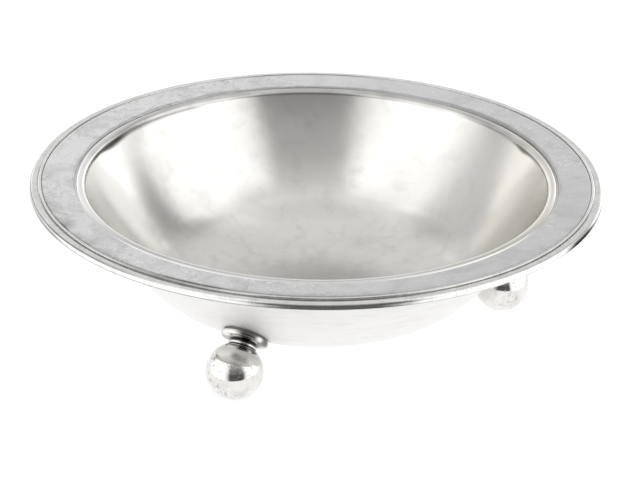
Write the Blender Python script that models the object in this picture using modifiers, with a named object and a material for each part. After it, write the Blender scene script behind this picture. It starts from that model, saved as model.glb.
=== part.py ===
"""Footed bowl: a shallow turned bowl with a broad flat brim, standing on
three splayed ball feet.  Metres, +Z up, origin on the surface it stands on,
below the centre of the bowl.  The side with the foot FIRST_FOOT_AZIMUTH faces
-Y."""

import math

import bmesh
import bpy
from mathutils import Matrix, Vector

MM = 0.001

# ---------------------------------------------------------------- dimensions
# All lengths in millimetres, all heights above the standing surface.
GAP = 0.3                    # solder film between neighbouring pieces
RIM_Z = 67.3                 # level that the rim's heights are measured from

# bowl wall: four arcs, from the middle of the bottom to the mouth
BOWL_BOTTOM_Z = RIM_Z - 59.64  # underside of the bowl on the axis
BOTTOM_RADIUS = 433.0        # nearly flat middle of the bottom
BELLY_RADIUS = 123.2         # bottom, rising
KNUCKLE_RADIUS = 35.7        # turn from bottom to wall
WALL_RADIUS = 228.6          # slightly rounded wall
BOTTOM_SINE = 0.06           # sine of the slope where the flat middle ends
BELLY_SINE = 0.364           # ... where bottom meets knuckle
KNUCKLE_SINE = 0.732         # ... where knuckle meets wall
MOUTH_OUTER_R = 106.9        # outside of the wall at the mouth
WALL = 1.8                   # wall thickness of the bottom
MOUTH_WALL = 3.6             # wall thickness at the mouth, to meet the bead
THICKEN_R = 76.0             # where the wall starts to thicken
LIP_R = 112.0                # turned-out lip under the brim
LIP_TOP_Z = RIM_Z - 0.55
LIP_THICK = 1.2

# brim
PLATE_IN_R = 107.5
PLATE_OUT_R = 123.2
PLATE_IN_Z = RIM_Z + 1.38    # top face at the inner edge
PLATE_RISE = 0.0575          # rise per unit of radius, outwards
PLATE_THICK = 1.6
REBATE_R = 121.7             # step that seats the fillet wire
REBATE_DEEP = 0.75

# mouth bead: D-shaped wire over the seam between bowl and brim
BEAD_R = 104.9
BEAD_Z = RIM_Z - 1.0
BEAD_SECTION = 2.4
BEAD_FLAT_Z = LIP_TOP_Z + GAP

# edge band: flat below, upright outside, rounded over on top
EDGE_R = 127.0
EDGE_IN_R = PLATE_OUT_R + GAP
EDGE_LOW_Z = RIM_Z - 1.3
EDGE_TOP_Z = RIM_Z + 1.55
EDGE_ROUND = 0.7
EDGE_IN_ROUND = 0.5

# fillet wire between edge band and brim
FILLET_IN_R = 122.0
FILLET_OUT_R = 123.2
FILLET_CROWN = 0.5

# feet
FOOT_COUNT = 3
FIRST_FOOT_AZIMUTH = math.radians(-113.0)
FOOT_R = 74.95               # where the foot's axis meets the bowl's outside
BALL_R = 12.5
WEAR_FLAT = 0.3              # depth worn off the ball where it stands
NECK_H = 10.9                # seat on top of the ball, from its middle
RING_R = 6.6
RING_H = (11.15, 12.45)
COLLAR_NECK_R = 5.9
COLLAR_R = 10.4
COLLAR_H = 12.75             # small end of the collar
COLLAR_EDGE_H = 15.05        # middle of the collar's round edge
COLLAR_EDGE_ROUND = 1.4
PEG_R = 2.4
PEG_H = (4.0, 15.2)
BORE_CLEAR = 0.3

STEPS = 64                   # divisions round the bowl and its rings
FOOT_STEPS = 20              # divisions round a foot

# ---------------------------------------------------------------- scene
for old in list(bpy.data.objects):
    bpy.data.objects.remove(old, do_unlink=True)

parts = bpy.data.collections.new("footed_bowl")
bpy.context.scene.collection.children.link(parts)
cutters = bpy.data.collections.new("cutters")
bpy.context.scene.collection.children.link(cutters)


def material(name, colour, roughness, metallic):
    mat = bpy.data.materials.new(name)
    mat.use_nodes = True
    shader = mat.node_tree.nodes["Principled BSDF"]
    shader.inputs["Base Color"].default_value = (*colour, 1.0)
    shader.inputs["Roughness"].default_value = roughness
    shader.inputs["Metallic"].default_value = metallic
    return mat


SATIN = material("satin_metal", (0.72, 0.715, 0.70), 0.28, 1.0)
MOTTLED = material("mottled_metal", (0.66, 0.66, 0.655), 0.38, 1.0)
POLISHED = material("polished_metal", (0.80, 0.795, 0.785), 0.10, 1.0)
DULL = material("dull_metal", (0.55, 0.55, 0.54), 0.45, 1.0)


# ---------------------------------------------------------------- helpers
def profile_object(name, points, closed):
    """Edges only, in the XZ plane, for turning about Z."""
    mesh = bpy.data.meshes.new(name)
    bm = bmesh.new()
    verts = [bm.verts.new((r * MM, 0.0, z * MM)) for r, z in points]
    for a, b in zip(verts, verts[1:]):
        bm.edges.new((a, b))
    if closed:
        bm.edges.new((verts[-1], verts[0]))
    bm.to_mesh(mesh)
    bm.free()
    return bpy.data.objects.new(name, mesh)


def turned(name, points, closed, steps, mat, collection=parts):
    obj = profile_object(name, points, closed)
    collection.objects.link(obj)
    screw = obj.modifiers.new("turn", "SCREW")
    screw.axis = "Z"
    screw.angle = 2.0 * math.pi
    screw.steps = steps
    screw.render_steps = steps
    screw.use_merge_vertices = True
    screw.merge_threshold = 0.00001
    screw.use_smooth_shade = True
    weld = obj.modifiers.new("close", "WELD")
    weld.merge_threshold = 0.00001
    if mat is not None:
        obj.data.materials.append(mat)
    return obj


def cut(obj, cutter):
    mod = obj.modifiers.new("cut_" + cutter.name, "BOOLEAN")
    mod.operation = "DIFFERENCE"
    mod.solver = "EXACT"
    mod.object = cutter


def as_cutter(obj):
    obj.hide_render = True
    obj.display_type = "WIRE"
    return obj


def arc(centre_r, centre_z, radius, start, end, count):
    """Points on a circle; angles in degrees from +r towards +z."""
    out = []
    for i in range(count + 1):
        a = math.radians(start + (end - start) * i / count)
        out.append((centre_r + radius * math.cos(a), centre_z + radius * math.sin(a)))
    return out


# ---------------------------------------------------------------- bowl wall
WALL_ARCS = ((BOTTOM_RADIUS, 0.0, BOTTOM_SINE), (BELLY_RADIUS, BOTTOM_SINE, BELLY_SINE),
             (KNUCKLE_RADIUS, BELLY_SINE, KNUCKLE_SINE), (WALL_RADIUS, KNUCKLE_SINE, 0.98))


def wall_point(slope_sine):
    """Point on the outside of the wall where the slope has this sine, and
    the outward normal there."""
    r, z = 0.0, BOWL_BOTTOM_Z
    for radius, start, end in WALL_ARCS:
        s = min(slope_sine, end)
        r += radius * (s - start)
        z += radius * (math.sqrt(1.0 - start * start) - math.sqrt(1.0 - s * s))
        if slope_sine <= end:
            break
    return r, z, (slope_sine, -math.sqrt(1.0 - slope_sine * slope_sine))


def sine_at_radius(radius):
    r = 0.0
    for arc_radius, start, end in WALL_ARCS:
        if radius <= r + arc_radius * (end - start):
            return start + (radius - r) / arc_radius
        r += arc_radius * (end - start)
    return end


MOUTH_SINE = sine_at_radius(MOUTH_OUTER_R)


def wall_line(offset, *counts):
    """The wall's outside moved out along its normal by offset, axis to mouth,
    with this many steps in each arc."""
    steps = []
    for count, (radius, start, end) in zip(counts, WALL_ARCS):
        end = min(end, MOUTH_SINE)
        steps += [start + (end - start) * i / count for i in range(count)]
    steps.append(MOUTH_SINE)
    out = []
    for s in steps:
        r, z, (nr, nz) = wall_point(s)
        out.append((max(0.0, r + offset * nr), z + offset * nz))
    return out


def inner_line(*counts):
    """The wall's inside, axis to mouth."""
    out = []
    for r, z in wall_line(0.0, *counts):
        grown = max(0.0, (r - THICKEN_R) / (MOUTH_OUTER_R - THICKEN_R))
        thick = WALL + (MOUTH_WALL - WALL) * grown * grown
        sine = sine_at_radius(r)
        out.append((max(0.0, r - thick * sine), z + thick * math.sqrt(1.0 - sine * sine)))
    return out


outside = wall_line(0.0, 3, 5, 6, 4)
inside = inner_line(3, 5, 6, 4)
lip_low_z = LIP_TOP_Z - LIP_THICK
# the wall runs up into the lip, which turns outwards
inside = [p for p in inside if p[1] < LIP_TOP_Z - 1.6]
outside = [p for p in outside if p[1] < lip_low_z - 0.6]
in_top_r = inside[-1][0] + (LIP_TOP_Z - inside[-1][1]) * 0.58
shell_points = (
    inside
    + [(in_top_r, LIP_TOP_Z), (LIP_R, LIP_TOP_Z), (LIP_R, lip_low_z),
       (MOUTH_OUTER_R + 0.6, lip_low_z)]
    + list(reversed(outside))
)
turned("bowl_shell", shell_points, False, STEPS, SATIN)


# ---------------------------------------------------------------- brim
def plate_top(r):
    return PLATE_IN_Z + (r - PLATE_IN_R) * PLATE_RISE


plate_points = [
    (PLATE_IN_R, plate_top(PLATE_IN_R)),
    (REBATE_R, plate_top(REBATE_R)),
    (REBATE_R, plate_top(REBATE_R) - REBATE_DEEP),
    (PLATE_OUT_R, plate_top(PLATE_OUT_R) - REBATE_DEEP),
    (PLATE_OUT_R, plate_top(PLATE_OUT_R) - PLATE_THICK),
    (PLATE_IN_R, plate_top(PLATE_IN_R) - PLATE_THICK),
]
turned("rim_plate", plate_points, True, STEPS, MOTTLED)

# mouth bead, flat side down on the lip
flat_angle = math.degrees(math.asin((BEAD_FLAT_Z - BEAD_Z) / BEAD_SECTION))
bead_points = list(reversed(arc(BEAD_R, BEAD_Z, BEAD_SECTION, flat_angle, 180.0 - flat_angle, 8)))
turned("mouth_bead", bead_points, True, STEPS, SATIN)

# edge band
band_points = [(EDGE_IN_R, EDGE_LOW_Z)]
band_points += arc(EDGE_IN_R + EDGE_IN_ROUND, EDGE_TOP_Z - EDGE_IN_ROUND, EDGE_IN_ROUND, 180.0, 90.0, 2)
band_points += arc(EDGE_R - EDGE_ROUND, EDGE_TOP_Z - EDGE_ROUND, EDGE_ROUND, 80.0, 0.0, 4)
band_points += [(EDGE_R, EDGE_LOW_Z + 0.25), (EDGE_R - 0.25, EDGE_LOW_Z)]
turned("rim_edge_band", band_points, True, STEPS, POLISHED)

# fillet wire in the brim's rebate
fillet_base = plate_top(FILLET_OUT_R) - REBATE_DEEP + GAP
fillet_mid = (FILLET_IN_R + FILLET_OUT_R) / 2.0
fillet_half = (FILLET_OUT_R - FILLET_IN_R) / 2.0
fillet_points = []
for i in range(6):
    a = math.pi * (1.0 - i / 5.0)
    fillet_points.append((fillet_mid + fillet_half * math.cos(a), fillet_base + FILLET_CROWN * math.sin(a)))
turned("rim_edge_fillet", fillet_points, True, STEPS, POLISHED)

# ---------------------------------------------------------------- feet
foot_sine = sine_at_radius(FOOT_R)
seat_r, seat_z, (normal_r, normal_z) = wall_point(foot_sine)
# from the bowl to the middle of the ball, along the foot
FOOT_REACH = (seat_z - (BALL_R - WEAR_FLAT)) / -normal_z

# clearance round the bowl, for shaping the top of the collars
clear_line = wall_line(GAP, 3, 8, 10, 4)
mouth_r, mouth_z = clear_line[-1]
bowl_clearance = as_cutter(turned(
    "bowl_clearance", [(0.0, mouth_z + 5.0), (mouth_r, mouth_z + 5.0)] + list(reversed(clear_line)),
    False, STEPS, None, cutters))

bpy.ops.mesh.primitive_cube_add(size=1.0)
floor_block = bpy.context.active_object
floor_block.name = "standing_surface"
for coll in list(floor_block.users_collection):
    coll.objects.unlink(floor_block)
cutters.objects.link(floor_block)
floor_block.data.transform(Matrix.Diagonal((0.4, 0.4, 0.02, 1.0)))
floor_block.data.transform(Matrix.Translation((0.0, 0.0, -0.01)))
as_cutter(floor_block)


def ball_outline():
    """Down the ball's outside from its seat to its far end, then up the bore."""
    top = math.degrees(math.asin(NECK_H / BALL_R))
    bore = PEG_R + BORE_CLEAR
    pts = [(bore, NECK_H)]
    pts += arc(0.0, 0.0, BALL_R, top, -90.0, 11)
    pts[-1] = (0.0, -BALL_R)
    pts = pts + [(0.0, PEG_H[0] - GAP), (bore, PEG_H[0] - GAP)]
    return pts


def ring_outline():
    mid = (RING_H[0] + RING_H[1]) / 2.0
    half = (RING_H[1] - RING_H[0]) / 2.0
    bore = PEG_R + BORE_CLEAR
    pts = [(bore, RING_H[1]), (RING_R - half, RING_H[1])]
    pts += arc(RING_R - half, mid, half, 60.0, -60.0, 4)
    pts += [(RING_R - half, RING_H[0]), (bore, RING_H[0])]
    return pts


def collar_outline():
    """From the bowl down the round edge, in under it to the small end."""
    bore = PEG_R + BORE_CLEAR
    edge = arc(COLLAR_R - COLLAR_EDGE_ROUND, COLLAR_EDGE_H, COLLAR_EDGE_ROUND, 50.0, -75.0, 5)
    pts = [(bore, FOOT_REACH + 2.0), (edge[0][0], FOOT_REACH + 2.0)] + edge
    # hollow taper to the neck
    count = 4
    r0, h0 = pts[-1]
    for i in range(1, count + 1):
        t = i / count
        pts.append((COLLAR_NECK_R + (r0 - COLLAR_NECK_R) * (1.0 - t) ** 2, h0 + (COLLAR_H - h0) * t))
    pts += [(bore, COLLAR_H)]
    return pts


for index in range(FOOT_COUNT):
    azimuth = FIRST_FOOT_AZIMUTH + index * 2.0 * math.pi / FOOT_COUNT
    out = Vector((math.cos(azimuth), math.sin(azimuth), 0.0))
    axis = (out * normal_r + Vector((0.0, 0.0, 1.0)) * normal_z).normalized()   # bowl towards ball
    centre = (out * seat_r + Vector((0.0, 0.0, seat_z)) + axis * FOOT_REACH) * MM
    # local Z runs from the ball up to the bowl, local X lies in the plane of bowl axis and foot
    up = -axis
    side = Vector((-math.sin(azimuth), math.cos(azimuth), 0.0))
    inward = side.cross(up)
    frame = Matrix((
        (inward.x, side.x, up.x, centre.x),
        (inward.y, side.y, up.y, centre.y),
        (inward.z, side.z, up.z, centre.z),
        (0.0, 0.0, 0.0, 1.0)))
    number = str(index + 1)

    ball = turned("foot_ball_" + number, ball_outline(), True, FOOT_STEPS, POLISHED)
    ball.matrix_world = frame
    cut(ball, floor_block)

    ring = turned("foot_ring_" + number, ring_outline(), True, FOOT_STEPS, POLISHED)
    ring.matrix_world = frame

    collar = turned("foot_collar_" + number, collar_outline(), True, FOOT_STEPS, DULL)
    collar.matrix_world = frame
    cut(collar, bowl_clearance)

    bpy.ops.mesh.primitive_cylinder_add(
        vertices=12, radius=PEG_R * MM, depth=(PEG_H[1] - PEG_H[0]) * MM, end_fill_type="NGON")
    peg = bpy.context.active_object
    peg.name = "foot_peg_" + number
    for coll in list(peg.users_collection):
        coll.objects.unlink(peg)
    parts.objects.link(peg)
    peg.data.transform(Matrix.Translation((0.0, 0.0, (PEG_H[0] + PEG_H[1]) / 2.0 * MM)))
    peg.matrix_world = frame
    peg.data.materials.append(DULL)
    peg.data.shade_smooth()
    peg.data.set_sharp_from_angle(angle=math.radians(40.0))
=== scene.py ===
import math

import bmesh
import bpy
from mathutils import Matrix, Vector, noise


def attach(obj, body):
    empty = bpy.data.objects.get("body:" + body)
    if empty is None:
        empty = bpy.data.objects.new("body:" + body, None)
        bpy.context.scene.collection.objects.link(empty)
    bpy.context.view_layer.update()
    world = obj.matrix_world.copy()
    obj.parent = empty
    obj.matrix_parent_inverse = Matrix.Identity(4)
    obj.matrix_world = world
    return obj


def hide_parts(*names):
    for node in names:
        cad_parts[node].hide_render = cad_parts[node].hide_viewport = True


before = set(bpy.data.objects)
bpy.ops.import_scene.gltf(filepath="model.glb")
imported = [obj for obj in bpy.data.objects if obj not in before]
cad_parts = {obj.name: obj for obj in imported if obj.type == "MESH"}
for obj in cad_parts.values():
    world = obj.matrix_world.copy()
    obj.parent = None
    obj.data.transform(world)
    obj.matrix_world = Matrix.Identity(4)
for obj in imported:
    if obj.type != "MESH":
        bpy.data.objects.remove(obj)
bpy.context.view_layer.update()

MM = 0.001

# ------------------------------------------------------------------ sizes, mm
RIM_Z = 67.3
BOWL_BOTTOM_Z = RIM_Z - 59.64
BOTTOM_RADIUS, BELLY_RADIUS, KNUCKLE_RADIUS, WALL_RADIUS = 433.0, 123.2, 35.7, 228.6
BOTTOM_SINE, BELLY_SINE, KNUCKLE_SINE = 0.06, 0.364, 0.732
MOUTH_OUTER_R = 106.9
WALL, MOUTH_WALL, THICKEN_R = 1.8, 3.6, 76.0
LIP_R, LIP_TOP_Z, LIP_THICK = 112.0, RIM_Z - 0.55, 1.2

PLATE_IN_R, PLATE_OUT_R = 107.45, 123.25
PLATE_IN_Z, PLATE_RISE, PLATE_THICK = RIM_Z + 1.38, 0.0575, 1.6
REBATE_R, REBATE_DEEP = 121.75, 0.75

BEAD_R, BEAD_Z, BEAD_SECTION = 104.9, RIM_Z - 1.0, 2.4

EDGE_R, EDGE_IN_R = 127.0, 123.45
EDGE_LOW_Z, EDGE_TOP_Z, WORN_ROUND = RIM_Z - 1.3, RIM_Z + 1.55, 1.5

FOOT_COUNT, FIRST_FOOT_AZIMUTH = 3, math.radians(-113.0)
FOOT_R, BALL_R, WEAR_FLAT = 74.95, 12.5, 0.3
NECK_H, RING_R, RING_H = 10.9, 6.6, (11.0, 12.5)
COLLAR_NECK_R, COLLAR_R, COLLAR_H = 5.9, 10.4, 12.65
COLLAR_EDGE_H, COLLAR_EDGE_ROUND = 15.05, 1.4

ROUND = 288                  # divisions round the bowl
FOOT_ROUND = 96              # divisions round a foot


# ------------------------------------------------------------------ bowl wall
# arcs from the middle outwards: radius, sine of the slope at the start and end
WALL_ARCS = ((BOTTOM_RADIUS, 0.0, BOTTOM_SINE), (BELLY_RADIUS, BOTTOM_SINE, BELLY_SINE),
             (KNUCKLE_RADIUS, BELLY_SINE, KNUCKLE_SINE), (WALL_RADIUS, KNUCKLE_SINE, 0.98))


def wall_point(slope_sine):
    r, z = 0.0, BOWL_BOTTOM_Z
    for radius, start, end in WALL_ARCS:
        s = min(slope_sine, end)
        r += radius * (s - start)
        z += radius * (math.sqrt(1.0 - start * start) - math.sqrt(1.0 - s * s))
        if slope_sine <= end:
            break
    return r, z, (slope_sine, -math.sqrt(1.0 - slope_sine * slope_sine))


def sine_at_radius(radius):
    inner = 0.0
    for arc_radius, start, end in WALL_ARCS:
        outer = inner + arc_radius * (end - start)
        if radius <= outer:
            return start + (radius - inner) / arc_radius
        inner = outer
    return WALL_ARCS[-1][2]


MOUTH_SINE = sine_at_radius(MOUTH_OUTER_R)


def wall_line(offset, *counts):
    steps = []
    for (radius, start, end), count in zip(WALL_ARCS, counts):
        end = min(end, MOUTH_SINE)
        steps += [start + (end - start) * i / count for i in range(count)]
    out = []
    for s in steps + [MOUTH_SINE]:
        r, z, (nr, nz) = wall_point(s)
        out.append((max(0.0, r + offset * nr), z + offset * nz))
    return out


def inner_line(*counts):
    """The wall's inside; the wall thickens towards the mouth."""
    out = []
    for r, z in wall_line(0.0, *counts):
        grown = max(0.0, (r - THICKEN_R) / (MOUTH_OUTER_R - THICKEN_R))
        thick = WALL + (MOUTH_WALL - WALL) * grown * grown
        sine = sine_at_radius(r)
        out.append((max(0.0, r - thick * sine), z + thick * math.sqrt(1.0 - sine * sine)))
    return out


def outer_height(radius):
    """Height of the bowl's outside at this distance from the axis."""
    return wall_point(sine_at_radius(radius))[1]


# ------------------------------------------------------------------ meshes
def arc(cr, cz, radius, start, end, count):
    out = []
    for i in range(count + 1):
        a = math.radians(start + (end - start) * i / count)
        out.append((cr + radius * math.cos(a), cz + radius * math.sin(a)))
    return out


def lathe(name, outline, steps, closed=True, matrix=None, shade_and_soil=None, shift=None, crease=32.0, under=None):
    """Turns an outline of (radius, height) in mm about Z.  It runs down the
    outside and back up the inside.  The rule for painted shade and soil and
    under(r, z, turn), each taking (r, z, turn) and giving 0..1, are kept as
    vertex attributes, turn being degrees from the front, positive to the right;
    shift(r, z, angle) gives small changes of (radius, height)."""
    bm = bmesh.new()
    rows = []
    for r, z in outline:
        if r < 1e-6:
            rows.append([bm.verts.new((0.0, 0.0, z * MM))])
            continue
        row = []
        for k in range(steps):
            a = 2.0 * math.pi * k / steps
            dr, dz = shift(r, z, a) if shift else (0.0, 0.0)
            row.append(bm.verts.new(((r + dr) * math.cos(a) * MM, (r + dr) * math.sin(a) * MM, (z + dz) * MM)))
        rows.append(row)
    pairs = list(zip(rows, rows[1:]))
    if closed:
        pairs.append((rows[-1], rows[0]))
    for upper, lower in pairs:
        for k in range(steps):
            n = (k + 1) % steps
            if len(upper) == 1 and len(lower) == 1:
                continue
            if len(upper) == 1:
                bm.faces.new((upper[0], lower[k], lower[n]))
            elif len(lower) == 1:
                bm.faces.new((upper[k], lower[0], upper[n]))
            else:
                bm.faces.new((upper[k], lower[k], lower[n], upper[n]))
    bmesh.ops.recalc_face_normals(bm, faces=bm.faces[:])
    mesh = bpy.data.meshes.new(name)
    bm.to_mesh(mesh)
    bm.free()
    mesh.shade_smooth()
    mesh.set_sharp_from_angle(angle=math.radians(crease))
    for key, rule in (("shade_and_soil", shade_and_soil), ("under", under)):
        values = mesh.attributes.new(key, "FLOAT", "POINT")
        for v, item in zip(mesh.vertices, values.data):
            turn = math.degrees(math.atan2(v.co.x, -v.co.y))
            item.value = rule(math.hypot(v.co.x, v.co.y) / MM, v.co.z / MM, turn) if rule else 0.0
    if matrix is not None:
        mesh.transform(matrix)
    obj = bpy.data.objects.new(name, mesh)
    bpy.context.scene.collection.objects.link(obj)
    return obj


def place(obj, mat, slot, *nodes):
    obj.data.materials.append(mat)
    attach(obj, "root")
    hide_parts(*nodes)
    return obj


def bump_shape(x, centre, width):
    """Smooth hump, 1 at centre, 0 beyond width."""
    t = max(0.0, 1.0 - abs(x - centre) / width)
    return t * t * (3.0 - 2.0 * t)


def along(turn, *stops):
    """Level at this turn, eased between (turn, level) stops from -180 to 180."""
    for (t0, v0), (t1, v1) in zip(stops, stops[1:]):
        if turn <= t1:
            t = (turn - t0) / (t1 - t0)
            return v0 + (v1 - v0) * t * t * (3.0 - 2.0 * t)
    return stops[-1][1]


def ragged(turn, scale, seed):
    """Slow irregular change round the rim, about -1 to 1."""
    a = math.radians(turn)
    return 2.0 * noise.noise(Vector((scale * math.cos(a), scale * math.sin(a), seed)))


# ------------------------------------------------------------------ materials
class Nodes:
    """Short hand for building a node tree."""

    def __init__(self, name):
        self.mat = bpy.data.materials.new(name)
        self.mat.use_nodes = True
        self.tree = self.mat.node_tree
        self.shader = self.tree.nodes["Principled BSDF"]

    def add(self, kind, **settings):
        node = self.tree.nodes.new(kind)
        for key, value in settings.items():
            setattr(node, key, value)
        return node

    def link(self, a, b):
        self.tree.links.new(a, b)

    def math(self, op, a, b=None, clamp=False):
        node = self.add("ShaderNodeMath", operation=op, use_clamp=clamp)
        for socket, value in zip(node.inputs, (a, b)):
            if value is None:
                continue
            if isinstance(value, (int, float)):
                socket.default_value = value
            else:
                self.link(value, socket)
        return node.outputs[0]

    def ramp(self, value, stops, smooth=True):
        node = self.add("ShaderNodeValToRGB")
        node.color_ramp.interpolation = "EASE" if smooth else "LINEAR"
        items = node.color_ramp.elements
        while len(items) < len(stops):
            items.new(0.5)
        for item, (pos, level) in zip(items, stops):
            item.position = pos
            item.color = (*level, 1.0) if isinstance(level, tuple) else (level, level, level, 1.0)
        self.link(value, node.inputs["Fac"])
        return node.outputs["Color"]

    def mix(self, factor, a, b, kind="MIX"):
        node = self.add("ShaderNodeMix", data_type="RGBA", blend_type=kind)
        fac, first, second = node.inputs[0], node.inputs[6], node.inputs[7]
        for socket, value in ((fac, factor), (first, a), (second, b)):
            if isinstance(value, (int, float)):
                socket.default_value = value
            elif isinstance(value, tuple):
                socket.default_value = (*value, 1.0)
            else:
                self.link(value, socket)
        return node.outputs[2]

    def noise(self, vector, scale, detail=3.0, rough=0.55, distortion=0.0):
        node = self.add("ShaderNodeTexNoise")
        node.inputs["Scale"].default_value = scale
        node.inputs["Detail"].default_value = detail
        node.inputs["Roughness"].default_value = rough
        node.inputs["Distortion"].default_value = distortion
        self.link(vector, node.inputs["Vector"])
        return node.outputs["Fac"]

    def mapped(self, vector, scale=(1, 1, 1), turn=(0, 0, 0), move=(0, 0, 0)):
        node = self.add("ShaderNodeMapping")
        node.inputs["Location"].default_value = move
        node.inputs["Rotation"].default_value = turn
        node.inputs["Scale"].default_value = scale
        self.link(vector, node.inputs["Vector"])
        return node.outputs["Vector"]

    def place(self):
        return self.add("ShaderNodeTexCoord").outputs["Object"]

    def turned(self, around, across):
        """Coordinates that follow the turning: slow round the axis, quick
        across it."""
        p = self.add("ShaderNodeSeparateXYZ")
        self.link(self.place(), p.inputs[0])
        flat = self.add("ShaderNodeCombineXYZ")
        self.link(p.outputs[0], flat.inputs[0])
        self.link(p.outputs[1], flat.inputs[1])
        unit = self.add("ShaderNodeVectorMath", operation="NORMALIZE")
        self.link(flat.outputs[0], unit.inputs[0])
        size = self.add("ShaderNodeVectorMath", operation="LENGTH")
        self.link(flat.outputs[0], size.inputs[0])
        u = self.add("ShaderNodeSeparateXYZ")
        self.link(unit.outputs[0], u.inputs[0])
        out = self.add("ShaderNodeCombineXYZ")
        self.link(self.math("MULTIPLY", u.outputs[0], around), out.inputs[0])
        self.link(self.math("MULTIPLY", u.outputs[1], around), out.inputs[1])
        reach = self.math("ADD", size.outputs["Value"], p.outputs[2])
        self.link(self.math("MULTIPLY", reach, across), out.inputs[2])
        return out.outputs[0]

    def hairs(self, scale, stretch, low, high, turn=(0, 0, 0), move=(0, 0, 0)):
        """Sparse short hairlines that bend a little, as a mask."""
        here = self.mapped(self.place(), (1, 1, 1), turn, move)
        sway = self.add("ShaderNodeTexNoise")
        sway.inputs["Scale"].default_value = 18.0
        sway.inputs["Detail"].default_value = 1.0
        self.link(here, sway.inputs["Vector"])
        drift = self.add("ShaderNodeVectorMath", operation="MULTIPLY_ADD")
        self.link(sway.outputs["Color"], drift.inputs[0])
        drift.inputs[1].default_value = (0.03, 0.03, 0.03)
        self.link(here, drift.inputs[2])
        lines = self.noise(self.mapped(drift.outputs[0], (stretch, 1, 1)), scale, 2.0, 0.5)
        return self.ramp(lines, [(low, 0.0), (high, 1.0)])

    def kept(self, key):
        return self.add("ShaderNodeAttribute", attribute_name=key).outputs["Fac"]

    def bump(self, height, strength, distance, after=None):
        node = self.add("ShaderNodeBump")
        node.inputs["Strength"].default_value = strength
        node.inputs["Distance"].default_value = distance
        self.link(height, node.inputs["Height"])
        if after is not None:
            self.link(after, node.inputs["Normal"])
        return node.outputs["Normal"]

    def finish(self, colour, rough, normal):
        self.shader.inputs["Metallic"].default_value = 1.0
        self.link(colour, self.shader.inputs["Base Color"])
        self.link(rough, self.shader.inputs["Roughness"])
        self.link(normal, self.shader.inputs["Normal"])
        return self.mat


# near-black colour laid on by the shade-and-soil mask: mostly painted shade, with some dark patches
SHADE_AND_TARNISH = (0.045, 0.042, 0.037)


def satin_metal(name, base, dark, rough_low, rough_high, coarser, grain):
    n = Nodes(name)
    clouds = n.noise(n.place(), 42.0, 3.0, 0.58, 0.3)
    smears = n.noise(n.mapped(n.place(), (1, 1, 1), (0.2, 0.5, 0.9), (0.4, 0.1, 0.8)), 95.0, 3.0, 0.55, 0.3)
    marks = n.noise(n.turned(3.0, 1500.0), 1.0, 3.0, 0.6)
    colour = n.mix(n.ramp(clouds, [(0.34, 0.0), (0.70, 1.0)]), base, dark)
    colour = n.mix(n.math("MULTIPLY", n.ramp(smears, [(0.52, 0.0), (0.72, 1.0)]), 0.45), colour,
                   tuple(0.86 * c for c in dark))
    hair = n.math("MAXIMUM", n.hairs(60.0, 22.0, 0.69, 0.80, (0.2, 0.1, 0.7)),
                  n.hairs(75.0, 20.0, 0.70, 0.81, (0.3, 0.4, 2.3), (0.3, 0.1, 0.7)))
    colour = n.mix(n.math("MULTIPLY", hair, 0.03), colour, (0.45, 0.45, 0.44))
    side = n.add("ShaderNodeSeparateXYZ")
    n.link(n.place(), side.inputs[0])
    # small dull specks low in the bowl
    low = n.ramp(n.math("MULTIPLY", side.outputs[2], 20.0), [(0.28, 1.0), (0.66, 0.0)])
    specks = n.ramp(n.noise(n.mapped(n.place(), (1, 1, 1), (0, 0, 0.3), (0.1, 0.5, 0.9)), 120.0, 4.0, 0.62, 0.4), [(0.54, 0.0), (0.70, 1.0)])
    colour = n.mix(n.math("MULTIPLY", n.math("MULTIPLY", specks, low), 0.20), colour, (0.50, 0.49, 0.465))
    # yellower on the right
    warm = n.ramp(n.math("ADD", n.math("MULTIPLY", side.outputs[0], 4.0), 0.5), [(0.70, 0.0), (0.90, 0.85)])
    colour = n.mix(warm, colour, (0.84, 0.815, 0.752))
    # paler on the left
    paler = n.ramp(n.math("ADD", n.math("MULTIPLY", side.outputs[0], 4.0), 0.5), [(0.06, 0.9), (0.22, 0.0)])
    colour = n.mix(paler, colour, (0.96, 0.955, 0.935))
    colour = n.mix(n.math("MULTIPLY", n.kept("under"), 0.9), colour, (0.955, 0.95, 0.937))
    # faint streaks round the outside
    streaks = n.ramp(n.noise(n.turned(5.0, 170.0), 1.0, 4.0, 0.62), [(0.46, 0.0), (0.72, 1.0)])
    colour = n.mix(n.math("MULTIPLY", n.math("MULTIPLY", streaks, n.kept("under")), 0.22), colour, (0.70, 0.695, 0.68))
    # painted shade and soil from the vertex mask
    colour = n.mix(n.kept("shade_and_soil"), colour, SHADE_AND_TARNISH)
    rough = n.ramp(n.math("ADD", n.math("MULTIPLY", clouds, 0.55), n.math("MULTIPLY", smears, 0.35)),
                   [(0.28, rough_low), (0.66, rough_high)])
    rough = n.math("ADD", rough, n.math("MULTIPLY", n.kept("under"), coarser))
    height = n.math("ADD", n.math("MULTIPLY", marks, 0.5), n.math("MULTIPLY", hair, 0.08))
    wave = n.noise(n.place(), 30.0, 2.0, 0.45)
    normal = n.bump(wave, 0.30, 0.0006)
    normal = n.bump(height, grain, 0.00005, normal)
    return n.finish(colour, rough, normal)


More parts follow.
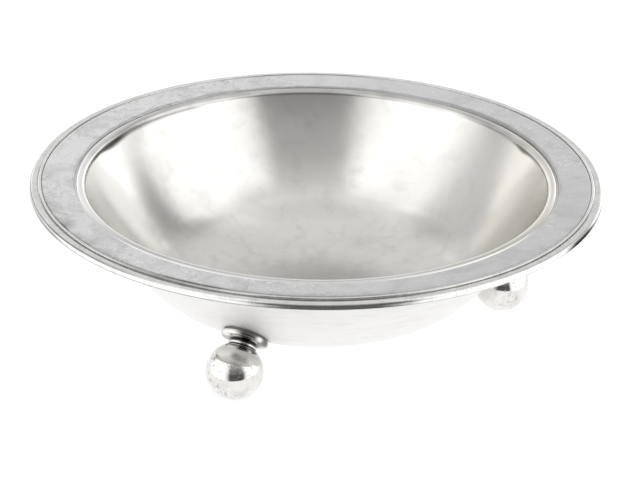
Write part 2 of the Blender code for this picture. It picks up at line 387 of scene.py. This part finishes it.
def mottled_metal(name):
    n = Nodes(name)
    wide = n.noise(n.place(), 48.0, 5.0, 0.60, 1.6)
    wisps = n.noise(n.mapped(n.place(), (1, 1, 1), (0, 0, 0.5), (0.3, 0.7, 0.1)), 110.0, 5.0, 0.66, 2.2)
    fine = n.noise(n.place(), 290.0, 4.0, 0.66, 2.4)
    where = n.ramp(n.noise(n.mapped(n.place(), (1, 1, 1), (0, 0, 0), (0.9, 0.2, 0.5)), 24.0, 2.0, 0.5),
                   [(0.38, 0.15), (0.58, 1.0)])
    side = n.add("ShaderNodeSeparateXYZ")
    n.link(n.place(), side.inputs[0])
    # paler on the left than on the right
    left_pale = n.ramp(n.math("ADD", n.math("MULTIPLY", side.outputs[0], 4.0), 0.5), [(0.0, 1.0), (1.0, 0.0)])
    colour = n.mix(left_pale, (0.72, 0.72, 0.722), (0.89, 0.89, 0.888))
    colour = n.mix(n.math("MULTIPLY", n.ramp(wide, [(0.40, 0.0), (0.72, 1.0)]), 0.6), colour, (0.60, 0.60, 0.605))
    # and paler at the back than at the front
    depth = n.ramp(n.math("ADD", n.math("MULTIPLY", side.outputs[1], 4.0), 0.5), [(0.0, 0.83), (0.6, 0.97), (1.0, 0.99)], False)
    colour = n.mix(1.0, colour, depth, "MULTIPLY")
    colour = n.mix(n.math("MULTIPLY", n.ramp(wisps, [(0.54, 0.0), (0.74, 1.0)]), 0.35), colour, (0.86, 0.86, 0.855))
    flecks = n.math("MULTIPLY", n.ramp(fine, [(0.55, 0.0), (0.66, 1.0)]), where)
    marked = n.math("MULTIPLY", n.ramp(left_pale, [(0.25, 0.35), (0.65, 1.0)]), flecks)
    colour = n.mix(n.math("MULTIPLY", marked, 0.75), colour, (0.45, 0.445, 0.435))
    glints = n.math("MULTIPLY", n.ramp(fine, [(0.34, 1.0), (0.42, 0.0)]), where)
    colour = n.mix(n.math("MULTIPLY", glints, 0.85), colour, (0.97, 0.97, 0.96))
    hair = n.math("MAXIMUM", n.hairs(110.0, 16.0, 0.69, 0.77, (0.1, 0.1, 0.4)),
                  n.hairs(130.0, 18.0, 0.70, 0.78, (0.2, 0.3, 1.9), (0.5, 0.2, 0.1)))
    colour = n.mix(n.math("MULTIPLY", hair, 0.22), colour, (0.50, 0.50, 0.50))
    # painted shade and soil from the vertex mask
    colour = n.mix(n.kept("shade_and_soil"), colour, SHADE_AND_TARNISH)
    rough = n.ramp(n.math("ADD", n.math("MULTIPLY", wide, 0.6), n.math("MULTIPLY", wisps, 0.3)),
                   [(0.28, 0.32), (0.62, 0.46)])
    height = n.math("SUBTRACT", n.math("MULTIPLY", n.math("MULTIPLY", fine, where), 0.9), n.math("MULTIPLY", hair, 0.4))
    normal = n.bump(n.noise(n.place(), 45.0, 3.0, 0.5), 0.35, 0.0005)
    normal = n.bump(height, 0.35, 0.00010, normal)
    return n.finish(colour, rough, normal)


def polished_metal(name, base, rough_low, rough_high, pits):
    n = Nodes(name)
    clouds = n.noise(n.place(), 130.0, 5.0, 0.64, 1.0)
    where = n.ramp(n.noise(n.mapped(n.place(), (1, 1, 1), (0, 0, 0), (0.2, 0.6, 0.3)), 62.0, 2.0, 0.5),
                   [(0.46, 0.0), (0.62, 1.0)])
    colour = n.mix(n.ramp(clouds, [(0.38, 0.0), (0.72, 1.0)]), base, tuple(0.84 * c for c in base))
    dots = n.math("MULTIPLY", n.ramp(n.noise(n.place(), 560.0, 3.0, 0.6, 0.6), [(0.58, 0.0), (0.68, 1.0)]), where)
    colour = n.mix(n.math("MULTIPLY", dots, pits), colour, (0.30, 0.29, 0.27))
    blots = n.math("MULTIPLY", n.ramp(n.noise(n.mapped(n.place(), (1, 1, 1), (0, 0, 0), (0.7, 0.1, 0.4)), 260.0, 4.0, 0.65, 0.8),
                                      [(0.54, 0.0), (0.64, 1.0)]), where)
    colour = n.mix(n.math("MULTIPLY", blots, 0.6 * pits), colour, (0.42, 0.41, 0.385))
    # painted shade and soil from the vertex mask
    colour = n.mix(n.kept("shade_and_soil"), colour, SHADE_AND_TARNISH)
    hair = n.math("MAXIMUM", n.hairs(170.0, 14.0, 0.69, 0.77, (0.3, 0.5, 0.8)),
                  n.hairs(150.0, 16.0, 0.70, 0.78, (0.9, 0.1, 2.2), (0.2, 0.4, 0.6)))
    rough = n.ramp(n.math("ADD", n.math("MULTIPLY", clouds, 0.55), n.math("MULTIPLY", n.math("MAXIMUM", hair, dots), 0.35)),
                   [(0.18, rough_low), (0.75, rough_high)])
    height = n.math("ADD", n.math("MULTIPLY", hair, -0.4), n.math("MULTIPLY", dots, -1.0))
    normal = n.bump(clouds, 0.12, 0.0004)
    normal = n.bump(height, 0.35, 0.00008, normal)
    return n.finish(colour, rough, normal)


INSIDE = satin_metal("bowl_satin", (0.815, 0.804, 0.778), (0.76, 0.75, 0.724), 0.15, 0.23, 0.45, 0.05)
BEAD = satin_metal("bead_satin", (0.83, 0.823, 0.805), (0.76, 0.753, 0.733), 0.17, 0.26, 0.0, 0.05)
BRIM = mottled_metal("brim_mottled")
EDGE = polished_metal("edge_polished", (0.82, 0.815, 0.80), 0.09, 0.20, 0.3)
BALL = polished_metal("ball_polished", (0.86, 0.85, 0.825), 0.07, 0.14, 0.8)
COLLAR = polished_metal("collar_polished", (0.90, 0.89, 0.87), 0.08, 0.18, 0.6)

# ------------------------------------------------------------------ bowl
def shell_wave(r, z, a):
    """The wall is spun by hand, so it is a little uneven."""
    if r < 20.0 or r > 103.0:
        return 0.0, 0.0
    fade = min(1.0, (r - 20.0) / 30.0) * min(1.0, (103.0 - r) / 10.0)
    p = Vector((3.1 * math.cos(a), 3.1 * math.sin(a), z * 0.035))
    return 0.12 * fade * noise.noise(p), 0.0


outside = wall_line(0.0, 10, 24, 28, 26)
inside = inner_line(10, 24, 28, 72)
lip_low_z = LIP_TOP_Z - LIP_THICK
inside = [p for p in inside if p[1] < LIP_TOP_Z - 0.5]
outside = [p for p in outside if p[1] < lip_low_z - 0.4]
top_r = inside[-1][0] + (LIP_TOP_Z - inside[-1][1]) * 0.5


def shell_shade_and_soil(r, z, turn):
    """Painted shade in the corner under the roll, with a dark wedge deepest at
    the back left, and a darker patch in the middle of the bottom."""
    if r > 108.0:
        return 0.3
    if r < 60.0:
        if z < outer_height(r) + 0.5 * WALL:
            return 0.0
        x, y = r * math.sin(math.radians(turn)), -r * math.cos(math.radians(turn))
        return 0.33 * bump_shape(math.hypot((x - 5.0) / 52.0, (y - 6.0) / 36.0), 0.0, 1.0)
    deep = along(turn, (-180, 0.4), (-150, 0.6), (-142, 1.5), (-124, 1.9), (-113, 3.6), (-105, 1.6), (-98, 0.9), (-40, 0.6),
                 (100, 0.6), (107, 1.0), (113, 2.2), (119, 0.9), (130, 0.4), (180, 0.4))
    full = along(turn, (-180, 0.10), (-152, 0.15), (-142, 0.5), (-123, 0.75), (-116, 1.0), (-106, 1.0), (-98, 0.85), (-60, 0.6),
                 (0, 0.3), (60, 0.5), (104, 0.7), (113, 0.9), (122, 0.4), (150, 0.1), (180, 0.1))
    t = max(0.0, min(1.0, 1.7 - 1.7 * (LIP_TOP_Z - z) / deep))
    return full * t * t * (3.0 - 2.0 * t)


shell_outline = (inside + [(top_r, LIP_TOP_Z), (LIP_R - 0.2, LIP_TOP_Z), (LIP_R, LIP_TOP_Z - 0.2),
                           (LIP_R, lip_low_z + 0.2), (LIP_R - 0.2, lip_low_z), (MOUTH_OUTER_R + 1.2, lip_low_z),
                           (MOUTH_OUTER_R + 0.5, lip_low_z - 0.2)] + list(reversed(outside)))


def shell_under(r, z, turn):
    """1 on the outside of the wall, 0 inside."""
    if r > MOUTH_OUTER_R:
        return 1.0
    return 1.0 if z < outer_height(r) + 0.5 * WALL else 0.0


bowl = lathe("bowl", shell_outline, ROUND, closed=False, shade_and_soil=shell_shade_and_soil, shift=shell_wave, under=shell_under)
place(bowl, INSIDE, "satin", "bowl_shell")


# ------------------------------------------------------------------ brim
def plate_top(r):
    return PLATE_IN_Z + (r - PLATE_IN_R) * PLATE_RISE


def plate_wave(r, z, a):
    p = Vector((2.2 * math.cos(a), 2.2 * math.sin(a), 0.03 * r + 5.0))
    q = Vector((7.0 * math.cos(a), 7.0 * math.sin(a), 0.06 * r))
    return 0.0, 0.05 * noise.noise(p) + 0.02 * noise.noise(q)


def plate_shade_and_soil(r, z, turn):
    # a dark smear at the front left
    front_left_dark = bump_shape(turn, -25.0, 15.0)
    # beyond the groove: painted shade on the rebate floor under the band and fillet
    if r > REBATE_R + 0.02:
        return along(turn, (-180, 0.15), (-60, 0.2), (-25, 0.2), (0, 0.12), (22, 0.0), (80, 0.0), (110, 0.15), (180, 0.15))
    # painted shade along the groove
    groove = along(turn, (-180, 0.12), (-140, 0.16), (-100, 0.36), (-60, 0.48), (-25, 0.58), (-8, 0.58), (8, 0.42), (25, 0.15), (70, 0.15), (100, 0.28), (140, 0.18), (180, 0.12))
    groove *= (0.85 + 0.3 * ragged(turn, 9.0, 3.0)) * bump_shape(r, REBATE_R, 0.95)
    groove += front_left_dark * (0.55 + 0.2 * ragged(turn, 14.0, 5.0)) * max(0.0, min(1.0, (r - REBATE_R + 1.7) / 1.3))
    # the front left and the front darker towards their edge
    patchy = max(0.0, 1.0 + 0.9 * ragged(turn, 22.0, 9.0))
    groove += 0.20 * patchy * bump_shape(turn, -60.0, 30.0) * bump_shape(r, REBATE_R, 8.0)
    groove += 0.20 * bump_shape(turn, 2.0, 34.0) * bump_shape(r, REBATE_R, 5.5)
    # painted shade in the corner along the roll, wider and ragged at the back
    back = along(turn, (-180, 0.60), (-140, 0.62), (-112, 0.45), (-88, 0.38), (-50, 0.15), (0, 0.08), (60, 0.25),
                 (95, 0.42), (112, 0.62), (135, 0.72), (155, 0.6), (180, 0.60))
    reach = along(turn, (-180, 1.0), (-150, 1.2), (-110, 0.9), (-80, 0.55), (70, 0.55), (105, 1.0), (132, 2.0), (152, 1.2), (180, 1.0))
    reach += 0.35 * ragged(turn, 8.0, 7.0) + 0.25 * ragged(turn, 24.0, 1.0)
    edge = (r - PLATE_IN_R) / max(0.4, reach)
    corner = 0.62 * back * max(0.0, min(1.0, 1.7 - 1.2 * edge))
    return min(0.9, max(groove, corner))


count = 26
plate_outline = arc(PLATE_IN_R + 0.85, plate_top(PLATE_IN_R + 0.85) - 0.85, 0.85, 180.0, 93.0, 8)
for i in range(1, count + 1):
    r = PLATE_IN_R + 0.9 + (REBATE_R - 0.95 - PLATE_IN_R - 0.9) * i / count
    plate_outline.append((r, plate_top(r)))
plate_outline += [(REBATE_R - 0.6, plate_top(REBATE_R - 0.6) - 0.06), (REBATE_R - 0.3, plate_top(REBATE_R - 0.3) - 0.20),
                  (REBATE_R - 0.05, plate_top(REBATE_R) - 0.42), (REBATE_R, plate_top(REBATE_R) - REBATE_DEEP),
                  (PLATE_OUT_R, plate_top(PLATE_OUT_R) - REBATE_DEEP), (PLATE_OUT_R, plate_top(PLATE_OUT_R) - PLATE_THICK),
                  (PLATE_IN_R, plate_top(PLATE_IN_R) - PLATE_THICK)]
brim = lathe("brim", plate_outline, ROUND, shade_and_soil=plate_shade_and_soil, shift=plate_wave)
place(brim, BRIM, "mottled", "rim_plate")

flat = math.degrees(math.asin((LIP_TOP_Z + 0.12 - BEAD_Z) / BEAD_SECTION))
# solder fills the corner between the roll and the brim
roll = list(reversed(arc(BEAD_R, BEAD_Z, BEAD_SECTION, 38.0, 180.0 - flat, 48)))
roll += [(roll[-1][0] + 0.15, roll[-1][1] - 0.06), (PLATE_IN_R - 0.05, roll[-1][1] - 0.02),
         (PLATE_IN_R - 0.05, LIP_TOP_Z + 0.12)]


def bead_painted_shade(r, z, turn):
    """Painted shade: a dark line on each side of the roll."""
    corner = along(turn, (-180, 0.6), (-110, 0.45), (-60, 0.3), (60, 0.3), (110, 0.55), (180, 0.6))
    corner *= bump_shape(r, PLATE_IN_R - 0.1, 0.75)
    # painted shade over the back of the roll
    back_shade = along(abs(turn), (0, 0.0), (85, 0.02), (115, 0.2), (180, 0.24)) * (1.0 + 0.4 * ragged(turn, 11.0, 2.0))
    # the inner painted shadow line lies on the crest at the sides and runs down to the wall
    lean = math.radians(min(160.0, 86.0 + math.degrees(math.atan2(0.407, 0.914 * math.cos(math.radians(turn))))))
    line = along(turn, (-180, 0.0), (-138, 0.0), (-118, 0.55), (-95, 0.85), (-50, 0.75), (-25, 0.10), (25, 0.0), (50, 0.2), (95, 0.5),
                 (122, 0.30), (140, 0.0), (180, 0.0))
    if r < BEAD_R - 0.4:
        return line * bump_shape(r, BEAD_R + BEAD_SECTION * math.cos(lean), 0.34) + back_shade
    # painted shade in a crease on the roll, strongest at the front
    crease = along(abs(turn), (0, 0.3), (40, 0.3), (75, 0.0), (180, 0.0)) * bump_shape(r, BEAD_R + 0.7, 0.4)
    return max(corner, crease) + back_shade * bump_shape(r, BEAD_R, 2.4)


bead = lathe("mouth_roll", roll, ROUND, shade_and_soil=bead_painted_shade)
place(bead, BEAD, "satin", "mouth_bead")

band_outline = [(EDGE_IN_R, EDGE_LOW_Z)]
band_outline += arc(EDGE_IN_R + 0.6, EDGE_TOP_Z - 0.62, 0.6, 180.0, 95.0, 6)
band_outline += arc(EDGE_R - WORN_ROUND, EDGE_TOP_Z - WORN_ROUND, WORN_ROUND, 90.0, 0.0, 22)
band_outline += [(EDGE_R, EDGE_LOW_Z + h) for h in (1.1, 0.9, 0.7, 0.55, 0.4, 0.25)] + [(EDGE_R - 0.25, EDGE_LOW_Z)]


def band_shade_and_soil(r, z, turn):
    # painted shade at the foot of the band's inner side
    if r < EDGE_R - 2.0:
        return along(turn, (-180, 0.15), (-30, 0.10), (0, 0.05), (22, 0.0), (80, 0.0), (110, 0.15), (180, 0.15)) * bump_shape(r, EDGE_IN_R, 0.5)
    # a painted dark line near the top on the left, and painted shade along the lower edge
    line = along(turn, (-180, 0.0), (-125, 0.0), (-100, 0.8), (-45, 0.8), (-18, 0.0), (180, 0.0))
    low = along(turn, (-180, 0.4), (-115, 0.5), (-95, 0.95), (-20, 0.95), (0, 0.5), (180, 0.4))
    # a dark wedge low on the right
    dark_wedge = min(1.0, 1.5 * bump_shape(turn, 63.5, 8.5)) * min(1.0, 1.9 * bump_shape(z, EDGE_LOW_Z + 1.3, 1.5))
    return max(dark_wedge, line * bump_shape(z, EDGE_TOP_Z - 0.5, 0.34) + low * bump_shape(z, EDGE_LOW_Z, 0.85))


band = lathe("rim_band", band_outline, ROUND, shade_and_soil=band_shade_and_soil)
place(band, EDGE, "polished", "rim_edge_band")

base = plate_top(123.2) - REBATE_DEEP + 0.05
fillet_outline = []
for i in range(13):
    a = math.pi * (1.0 - i / 12.0)
    fillet_outline.append((122.6 + 0.62 * math.cos(a), base + 0.25 + 0.52 * math.sin(a)))
fillet_outline += [(123.2, base), (122.0, base)]
# painted shade along both edges of the fillet, and a darker patch at the front left
fillet = lathe("rim_fillet", fillet_outline, ROUND,
               shade_and_soil=lambda r, z, t: 0.22 * bump_shape(abs(r - 122.6), 0.62, 0.3) + 0.5 * bump_shape(t, -30.0, 20.0))
place(fillet, EDGE, "polished", "rim_edge_fillet")

# ------------------------------------------------------------------ feet
foot_sine = sine_at_radius(FOOT_R)
seat_r, seat_z, (normal_r, normal_z) = wall_point(foot_sine)
REACH = (seat_z - (BALL_R - WEAR_FLAT)) / -normal_z


def ball_outline():
    top = math.degrees(math.asin(NECK_H / BALL_R))
    pts = [(2.6, NECK_H - 0.02)] + [(5.7, NECK_H)] + arc(0.0, 0.0, BALL_R, top - 1.0, -90.0, 56)
    pts[-1] = (0.0, -BALL_R)
    return pts + [(0.0, 3.7), (2.6, 3.7)]


def ring_outline():
    mid = (RING_H[0] + RING_H[1]) / 2.0
    half = (RING_H[1] - RING_H[0]) / 2.0
    pts = [(2.6, RING_H[1]), (RING_R - half - 0.2, RING_H[1])]
    pts += arc(RING_R - half, mid, half, 80.0, -80.0, 12)
    pts += [(RING_R - half - 0.2, RING_H[0]), (2.6, RING_H[0])]
    return pts


def collar_outline():
    edge = arc(COLLAR_R - COLLAR_EDGE_ROUND, COLLAR_EDGE_H, COLLAR_EDGE_ROUND, 50.0, -78.0, 16)
    pts = [(2.6, REACH + 3.0), (edge[0][0], REACH + 3.0)] + edge
    r0, h0 = pts[-1]
    for i in range(1, 13):
        t = i / 12.0
        pts.append((COLLAR_NECK_R + (r0 - COLLAR_NECK_R) * (1.0 - t) ** 2, h0 + (COLLAR_H - h0) * t))
    pts += [(2.6, COLLAR_H)]
    return pts


def collar_painted_shade(r, h, turn):
    """Painted shade near the neck and where the top meets the bowl, and painted
    dark reflections between the bright spots; turn 90 is the outer side."""
    if h > COLLAR_EDGE_H + 0.75:
        return 0.85
    painted_reflection_dark = along(-turn, (-180, 0.85), (-165, 0.8), (-150, 0.0), (-134, 0.8), (-104, 0.85), (-80, 0.05), (-45, 0.0), (-22, 0.7), (20, 0.85),
                   (60, 0.2), (100, 0.6), (140, 0.2), (180, 0.75))
    return max(painted_reflection_dark, 0.95 * bump_shape(r, COLLAR_NECK_R, 3.4))


for index in range(FOOT_COUNT):
    azimuth = FIRST_FOOT_AZIMUTH + index * 2.0 * math.pi / FOOT_COUNT
    out = Vector((math.cos(azimuth), math.sin(azimuth), 0.0))
    axis = (out * normal_r + Vector((0.0, 0.0, 1.0)) * normal_z).normalized()
    centre = (out * seat_r + Vector((0.0, 0.0, seat_z)) + axis * REACH) * MM
    up = -axis
    side = Vector((-math.sin(azimuth), math.cos(azimuth), 0.0))
    outer = side.cross(up)
    foot = Matrix(((outer.x, side.x, up.x, centre.x), (outer.y, side.y, up.y, centre.y),
                   (outer.z, side.z, up.z, centre.z), (0.0, 0.0, 0.0, 1.0)))
    number = str(index + 1)

    # painted shade under the neck and over the upper half of the ball, and a dark spot on one side
    ball = lathe("ball_" + number, ball_outline(), FOOT_ROUND, matrix=foot,
                 shade_and_soil=lambda r, h, t: max(0.9 * bump_shape(h, NECK_H + 0.3, 2.2) if r < 9.0 else 0.0,
                                          0.65 * bump_shape(t, 104.0, 20.0) * bump_shape(h, 4.3, 2.8),
                                          along(h, (0.5, 0.0), (7.0, 0.25), (20.0, 0.3))) if h > 0.5 and r > 2.7 else 0.0)
    for v in ball.data.vertices:      # worn flat where it stands
        if v.co.z < 0.0:
            v.co.z = 0.0
    place(ball, BALL, "polished", "foot_ball_" + number)

    # painted shade on the ring's flat top and bottom, between the ball and the collar
    ring = lathe("ring_" + number, ring_outline(), FOOT_ROUND, matrix=foot,
                 shade_and_soil=lambda r, h, t: 0.8 if r < RING_R - 0.65 else 0.0)
    place(ring, EDGE, "polished", "foot_ring_" + number)

    collar = lathe("collar_" + number, collar_outline(), FOOT_ROUND, matrix=foot,
                   shade_and_soil=collar_painted_shade)
    # the collar's top lies on the bowl
    for v in collar.data.vertices:
        p = v.co / MM
        radius = math.hypot(p.x, p.y)
        limit = outer_height(radius)
        if p.z > limit - 0.1:
            # back along the foot's axis to just clear of the bowl
            low, high = 0.0, 12.0
            for _ in range(30):
                mid = (low + high) / 2.0
                q = p + axis * mid
                if q.z > outer_height(math.hypot(q.x, q.y)) - 0.08:
                    low = mid
                else:
                    high = mid
            v.co = (p + axis * high) * MM
    place(collar, COLLAR, "collar", "foot_collar_" + number)

for name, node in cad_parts.items():
    if name.startswith("foot_peg"):
        node.data.materials.clear()
        node.data.materials.append(COLLAR)

# ------------------------------------------------------------------ floor
def flat_light(name, level):
    mat = bpy.data.materials.new(name)
    mat.use_nodes = True
    tree = mat.node_tree
    tree.nodes.clear()
    glow = tree.nodes.new("ShaderNodeEmission")
    glow.inputs["Color"].default_value = (1.0, 1.0, 1.0, 1.0)
    glow.inputs["Strength"].default_value = level
    out = tree.nodes.new("ShaderNodeOutputMaterial")
    tree.links.new(glow.outputs[0], out.inputs["Surface"])
    return mat


def disc(name, radius, z, mat):
    bm = bmesh.new()
    bmesh.ops.create_circle(bm, cap_ends=True, radius=radius, segments=96)
    mesh = bpy.data.meshes.new(name)
    bm.to_mesh(mesh)
    bm.free()
    mesh.transform(Matrix.Translation((0.0, 0.0, z)))
    mesh.materials.append(mat)
    obj = bpy.data.objects.new(name, mesh)
    bpy.context.scene.collection.objects.link(obj)
    return obj


disc("light_table", 0.165, -0.0002, flat_light("table_white", 1.06))
floor = disc("floor", 6.0, -0.0006, flat_light("floor_white", 1.06))
floor.visible_glossy = False
floor.visible_diffuse = False

# ------------------------------------------------------------------ studio
def between(x, stops):
    """Straight lines between (x, value) stops, x falling."""
    for (x0, v0), (x1, v1) in zip(stops, stops[1:]):
        if x >= x1:
            t = max(0.0, min(1.0, (x - x0) / (x1 - x0)))
            return v0 + (v1 - v0) * t
    return stops[-1][1]


def soft_panel(name, back, front, top, fade, soft_ends, levels):
    """Upright soft light from a back edge to a front edge, plan points in mm.
    top and fade give the height of its upper edge and half the width over
    which that edge fades, by depth; soft_ends is the same for the back and
    front edge; levels give its brightness by depth."""
    start, end = Vector(back), Vector(front)
    length = (end - start).length
    lead = (end - start) / length
    rows, columns = 90, 90
    points, faces, glow, shine_levels = [], [], [], []

    def ease(distance, half):
        t = max(0.0, min(1.0, 0.5 + 0.5 * distance / half))
        return t * t * (3.0 - 2.0 * t)

    for i in range(columns + 1):
        u = -soft_ends[0] + (length + soft_ends[0] + soft_ends[1]) * i / columns
        spot = start + lead * u
        high = between(spot.y, top)
        soft = between(spot.y, fade)
        low = between(spot.y, ((140.0, -10.0), (0.0, -150.0), (-800.0, -650.0)))
        foot = between(spot.y, ((140.0, 25.0), (0.0, 60.0), (-800.0, 70.0)))
        for j in range(rows + 1):
            z = low - foot + (high - low + soft + foot) * (j / rows)
            points.append((spot.x * MM, spot.y * MM, z * MM))
            glow.append(ease(u, soft_ends[0]) * ease(length - u, soft_ends[1]) * ease(high - z, soft) * ease(z - low, foot))
            shine_levels.append(between(spot.y, levels))
    for i in range(columns):
        for j in range(rows):
            k = i * (rows + 1) + j
            faces.append((k, k + rows + 1, k + rows + 2, k + 1))
    mesh = bpy.data.meshes.new(name)
    mesh.from_pydata(points, [], faces)
    for key, data in (("glow", glow), ("shine", shine_levels)):
        values = mesh.attributes.new(key, "FLOAT", "POINT")
        for item, value in zip(values.data, data):
            item.value = value
    mat = bpy.data.materials.new(name)
    mat.use_nodes = True
    nodes = mat.node_tree.nodes
    nodes.clear()
    light = nodes.new("ShaderNodeEmission")
    light.inputs["Color"].default_value = (1.0, 1.0, 1.0, 1.0)
    strength = nodes.new("ShaderNodeAttribute")
    strength.attribute_name = "shine"
    clear = nodes.new("ShaderNodeBsdfTransparent")
    kept = nodes.new("ShaderNodeAttribute")
    kept.attribute_name = "glow"
    blend = nodes.new("ShaderNodeMixShader")
    out = nodes.new("ShaderNodeOutputMaterial")
    mat.node_tree.links.new(strength.outputs["Fac"], light.inputs["Strength"])
    mat.node_tree.links.new(kept.outputs["Fac"], blend.inputs[0])
    mat.node_tree.links.new(clear.outputs[0], blend.inputs[1])
    mat.node_tree.links.new(light.outputs[0], blend.inputs[2])
    mat.node_tree.links.new(blend.outputs[0], out.inputs["Surface"])
    mesh.materials.append(mat)
    obj = bpy.data.objects.new(name, mesh)
    bpy.context.scene.collection.objects.link(obj)
    obj.visible_camera = False
    return obj


# two large soft panels, to the left and right of the camera, low at the back
soft_panel("panel_right", (260.0, 425.0), (574.0, -729.0),
           ((425.0, 310.0), (330.0, 160.0), (255.0, 80.0), (134.0, 120.0), (0.0, 500.0), (-150.0, 610.0), (-729.0, 1470.0)),
           ((425.0, 38.0), (0.0, 50.0), (-729.0, 195.0)), (60.0, 410.0), ((200.0, 1.6), (50.0, 1.4)))
soft_panel("panel_left", (-332.0, 425.0), (-391.0, -830.0),
           ((425.0, 90.0), (300.0, 150.0), (180.0, 85.0), (80.0, 110.0), (0.0, 335.0), (-150.0, 600.0), (-830.0, 1580.0)),
           ((425.0, 60.0), (0.0, 80.0), (-830.0, 205.0)), (60.0, 595.0), ((150.0, 1.0), (-50.0, 1.4)))

# The rest is a plain light tent: paler walls behind, a dim gap in front, a pale
# ceiling.  Angles in degrees; azimuth is counted from the camera's side,
# positive to the right.
world = bpy.data.worlds.new("studio")
bpy.context.scene.world = world
world.use_nodes = True
tree = world.node_tree
tree.nodes.clear()


def wadd(kind, **settings):
    node = tree.nodes.new(kind)
    for key, value in settings.items():
        setattr(node, key, value)
    return node


def wmath(op, a, b=None, clamp=False):
    node = wadd("ShaderNodeMath", operation=op, use_clamp=clamp)
    for socket, value in zip(node.inputs, (a, b)):
        if value is None:
            continue
        if isinstance(value, (int, float)):
            socket.default_value = value
        else:
            tree.links.new(value, socket)
    return node.outputs[0]


def wramp(value, stops):
    node = wadd("ShaderNodeValToRGB")
    node.color_ramp.interpolation = "LINEAR"
    items = node.color_ramp.elements
    while len(items) < len(stops):
        items.new(0.5)
    for item, (pos, level) in zip(items, stops):
        item.position = pos
        item.color = (level, level, level, 1.0)
    tree.links.new(value, node.inputs["Fac"])
    return node.outputs["Color"]


def wmix(factor, a, b):
    node = wadd("ShaderNodeMix", data_type="RGBA")
    for socket, value in ((node.inputs[0], factor), (node.inputs[6], a), (node.inputs[7], b)):
        if isinstance(value, (int, float)):
            socket.default_value = (value, value, value, 1.0)
        else:
            tree.links.new(value, socket)
    return node.outputs[2]


facing = wadd("ShaderNodeTexCoord").outputs["Generated"]
way = wadd("ShaderNodeSeparateXYZ")
tree.links.new(facing, way.inputs[0])
around = wmath("ADD", wmath("DIVIDE", wmath("ARCTAN2", way.outputs[0], wmath("MULTIPLY", way.outputs[1], -1.0)),
                            2.0 * math.pi), 0.5)
height = wmath("ADD", wmath("DIVIDE", wmath("ARCSINE", way.outputs[2]), math.pi), 0.5)


def walls(*stops):
    return wramp(around, [(a / 360.0 + 0.5, level) for a, level in stops])


def rise(low, high):
    return wramp(height, [(low / 180.0 + 0.5, 0.0), (high / 180.0 + 0.5, 1.0)])


below = walls((-180, 1.0), (-166, 0.95), (-138, 0.55), (-104, 0.55), (-88, 0.9), (-60, 1.1), (-30, 0.95), (-10, 0.14), (26, 0.13),
              (42, 0.9), (60, 1.2), (90, 1.2), (104, 0.7), (116, 0.10), (138, 0.10), (151, 0.6), (166, 0.93), (180, 1.0))
level = walls((-180, 1.08), (-155, 1.25), (-125, 1.25), (-100, 0.40), (-85, 0.40), (-27, 0.10), (42, 0.10), (85, 0.75),
              (100, 0.60), (125, 1.45), (152, 1.4), (180, 1.08))
middle = walls((-180, 0.78), (-150, 0.95), (-125, 0.61), (-100, 0.71), (-85, 1.05), (-27, 0.24), (42, 0.24),
               (85, 1.25), (102, 1.32), (109, 0.98), (115, 0.50), (122, 0.34), (129, 0.48), (150, 0.77), (180, 0.78))
upper = walls((-180, 0.78), (-150, 0.76), (-125, 0.55), (-100, 0.69), (-85, 1.25), (-27, 0.43), (42, 0.43),
              (85, 1.23), (101, 1.20), (112, 0.72), (123, 0.50), (150, 0.69), (180, 0.78))
high = walls((-180, 0.77), (-60, 0.95), (-8, 0.83), (18, 0.78), (70, 0.88), (130, 0.99), (180, 0.77))
room = wmix(rise(-20.0, -2.0), below, level)
room = wmix(rise(13.0, 18.0), room, middle)
room = wmix(rise(30.0, 41.0), room, upper)
room = wmix(rise(48.0, 61.0), room, high)
room = wmix(rise(65.0, 78.0), room, 0.74)
room = wmix(rise(-62.0, -44.0), 1.0, room)
back = wadd("ShaderNodeBackground")
tree.links.new(room, back.inputs["Color"])
out = wadd("ShaderNodeOutputWorld")
tree.links.new(back.outputs[0], out.inputs["Surface"])

# ------------------------------------------------------------------ camera
R = 0.127
E, D, ROLL, TX, TZ, F = 0.415936796, 9.1123, 0.0173348, 0.015779, -0.233738, 2600.0
eye = Vector((0.0, -D * math.cos(E), D * math.sin(E))) * R + Vector((0.0, 0.0, RIM_Z * MM))
aim = Vector((TX * R, 0.0, TZ * R + RIM_Z * MM))
fw = (aim - eye).normalized()
right = fw.cross(Vector((0.0, 0.0, 1.0))).normalized()
upward = right.cross(fw)
r2 = right * math.cos(ROLL) + upward * math.sin(ROLL)
u2 = upward * math.cos(ROLL) - right * math.sin(ROLL)
cam = bpy.data.cameras.new("camera")
cam.sensor_fit = "HORIZONTAL"
cam.sensor_width = 36.0
cam.lens = F * 36.0 / 640.0
cam.clip_start = 0.01
cam.clip_end = 50.0
cam_obj = bpy.data.objects.new("camera", cam)
bpy.context.scene.collection.objects.link(cam_obj)
cam_obj.matrix_world = Matrix(((r2.x, u2.x, -fw.x, eye.x), (r2.y, u2.y, -fw.y, eye.y),
                               (r2.z, u2.z, -fw.z, eye.z), (0.0, 0.0, 0.0, 1.0)))
bpy.context.scene.camera = cam_obj

view = bpy.context.scene.view_settings
view.view_transform = "Standard"
view.look = "None"
view.exposure = 0.0
view.gamma = 1.0
